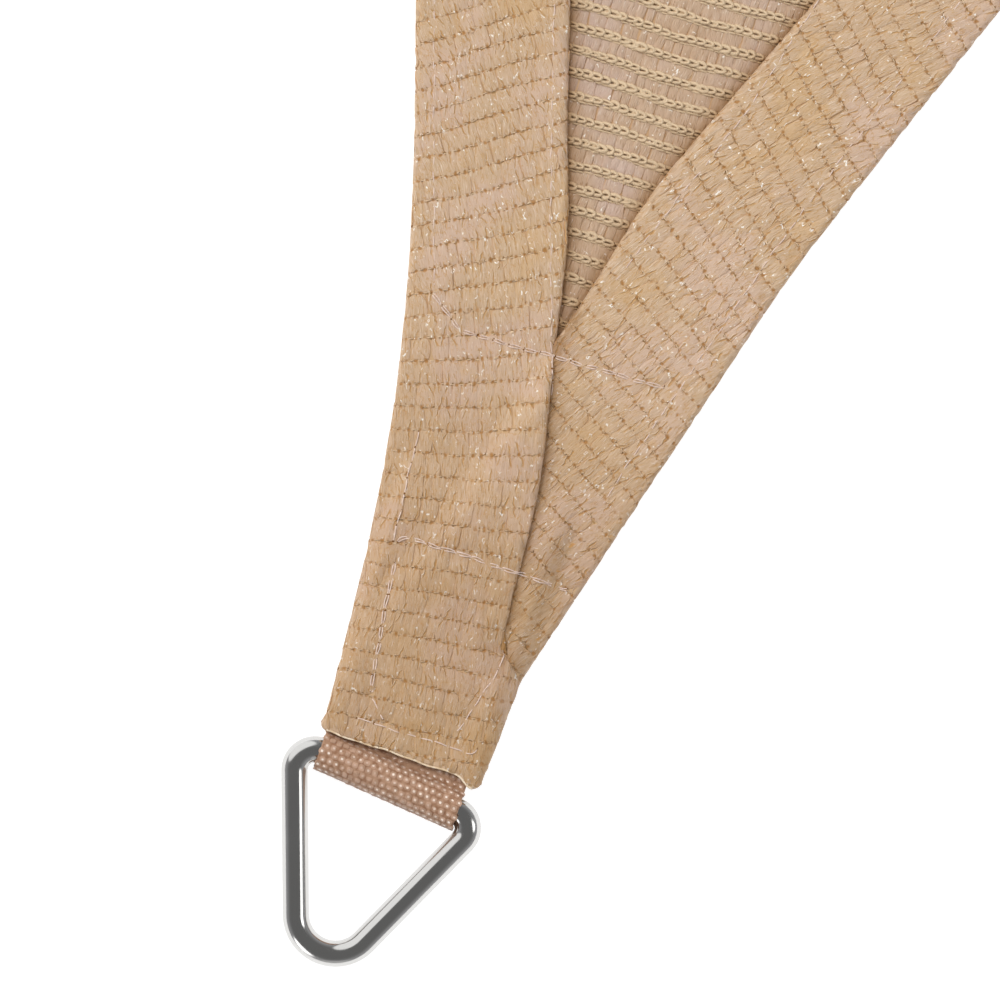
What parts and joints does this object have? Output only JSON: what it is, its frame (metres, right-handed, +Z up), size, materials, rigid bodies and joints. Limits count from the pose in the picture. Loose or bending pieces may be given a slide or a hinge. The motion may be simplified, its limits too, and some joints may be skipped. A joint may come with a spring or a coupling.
{
  "type": "shade sail",
  "caption": "Triangular shade sail of knitted cloth, laid flat, with hemmed hollow edges and a bent wire ring strapped into each corner.",
  "frame": {"origin": "the middle of the sail, on the surface that it lies on", "axes": "+Z up out of the cloth, on the side that the hems are turned to; -Y towards the corner in the picture"},
  "size_m": [3.0771, 2.6687, 0.0082],
  "materials": {
    "knitted_polyethylene": "open warp knit of flat tapes, sand",
    "woven_polyester": "woven strap, tan",
    "polished_stainless_steel": "polished wire"
  },
  "bodies": {
    "root": {"sail_cloth": "knitted_polyethylene", "corner_strap_1": "woven_polyester", "corner_strap_2": "woven_polyester", "corner_strap_3": "woven_polyester", "corner_ring_1": "polished_stainless_steel", "corner_ring_2": "polished_stainless_steel", "corner_ring_3": "polished_stainless_steel"}
  },
  "joints": []
}
